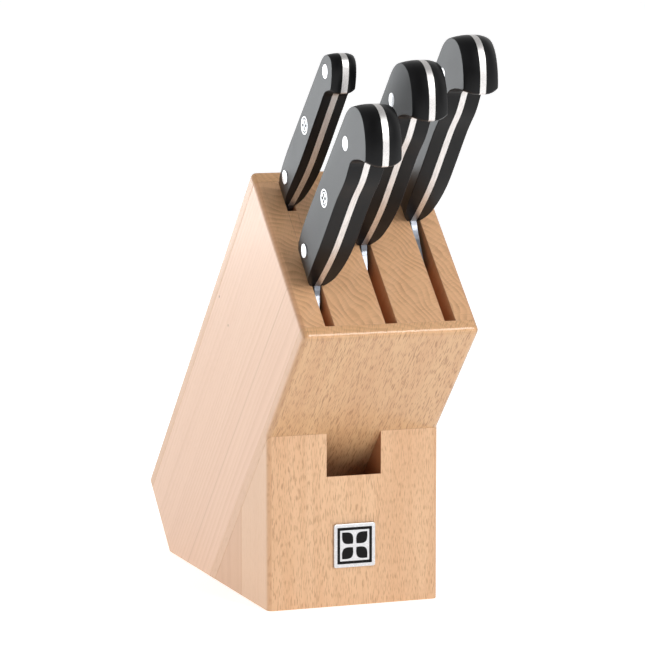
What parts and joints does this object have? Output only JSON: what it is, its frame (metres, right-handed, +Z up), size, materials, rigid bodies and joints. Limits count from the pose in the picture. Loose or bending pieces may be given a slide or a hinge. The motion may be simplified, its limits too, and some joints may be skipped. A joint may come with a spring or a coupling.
{
  "type": "knife block with knives",
  "caption": "Slanted beech knife block on a wedge foot, with riveted black-handled kitchen knives that pull out of their slots and a free shears pocket.",
  "frame": {"origin": "bottom centre of the whole object's box, on the surface it stands on", "axes": "+Z up, +X to the right seen from the front, the foot's front face and the knife handles towards -Y"},
  "size_m": [0.09, 0.319, 0.2832],
  "materials": {
    "beech_face": "oiled beech, long grain with short dark flecks",
    "beech_end": "oiled beech end grain with ring lines",
    "black_grip": "smooth satin black moulded grip",
    "satin_steel": "satin ground blade steel",
    "polished_steel": "polished steel rivets and badge plate",
    "dark_enamel": "dark enamel inlay"
  },
  "bodies": {
    "block": {"front_board": "beech_face", "back_board": "beech_face", "foot_front": "beech_face", "foot_rear": "beech_face", "stave_left": "beech_end", "stave_mid_left": "beech_end", "stave_mid_right": "beech_end", "stave_right": "beech_end", "slot_spacer": "beech_end", "badge_plate": "polished_steel", "badge_inlay": "dark_enamel"},
    "slicing_knife": {"slicing_knife_blade": "satin_steel", "slicing_knife_scale_right": "black_grip", "slicing_knife_scale_left": "black_grip", "slicing_knife_rivet_front": "polished_steel", "slicing_knife_rivet_middle": "polished_steel", "slicing_knife_rivet_rear": "polished_steel", "slicing_knife_medallion": "dark_enamel"},
    "bread_knife": {"bread_knife_blade": "satin_steel", "bread_knife_scale_right": "black_grip", "bread_knife_scale_left": "black_grip", "bread_knife_rivet_front": "polished_steel", "bread_knife_rivet_middle": "polished_steel", "bread_knife_rivet_rear": "polished_steel", "bread_knife_medallion": "dark_enamel"},
    "chef_knife": {"chef_knife_blade": "satin_steel", "chef_knife_scale_right": "black_grip", "chef_knife_scale_left": "black_grip", "chef_knife_rivet_front": "polished_steel", "chef_knife_rivet_middle": "polished_steel", "chef_knife_rivet_rear": "polished_steel", "chef_knife_medallion": "dark_enamel"},
    "paring_knife": {"paring_knife_blade": "satin_steel", "paring_knife_scale_right": "black_grip", "paring_knife_scale_left": "black_grip", "paring_knife_rivet_front": "polished_steel", "paring_knife_rivet_middle": "polished_steel", "paring_knife_rivet_rear": "polished_steel", "paring_knife_medallion": "dark_enamel"}
  },
  "joints": [
    {"name": "slicing_knife_pull_out", "type": "slide", "parent": "block", "child": "slicing_knife", "axis": [-0.0044, -0.7205, 0.6934], "range_m": [0, 0.17]},
    {"name": "bread_knife_pull_out", "type": "slide", "parent": "block", "child": "bread_knife", "axis": [-0.0087, -0.7046, 0.7095], "range_m": [0, 0.21]},
    {"name": "chef_knife_pull_out", "type": "slide", "parent": "block", "child": "chef_knife", "axis": [-0.0096, -0.6959, 0.7181], "range_m": [0, 0.21]},
    {"name": "paring_knife_pull_out", "type": "slide", "parent": "block", "child": "paring_knife", "axis": [-0.0061, -0.7337, 0.6794], "range_m": [0, 0.11]}
  ]
}
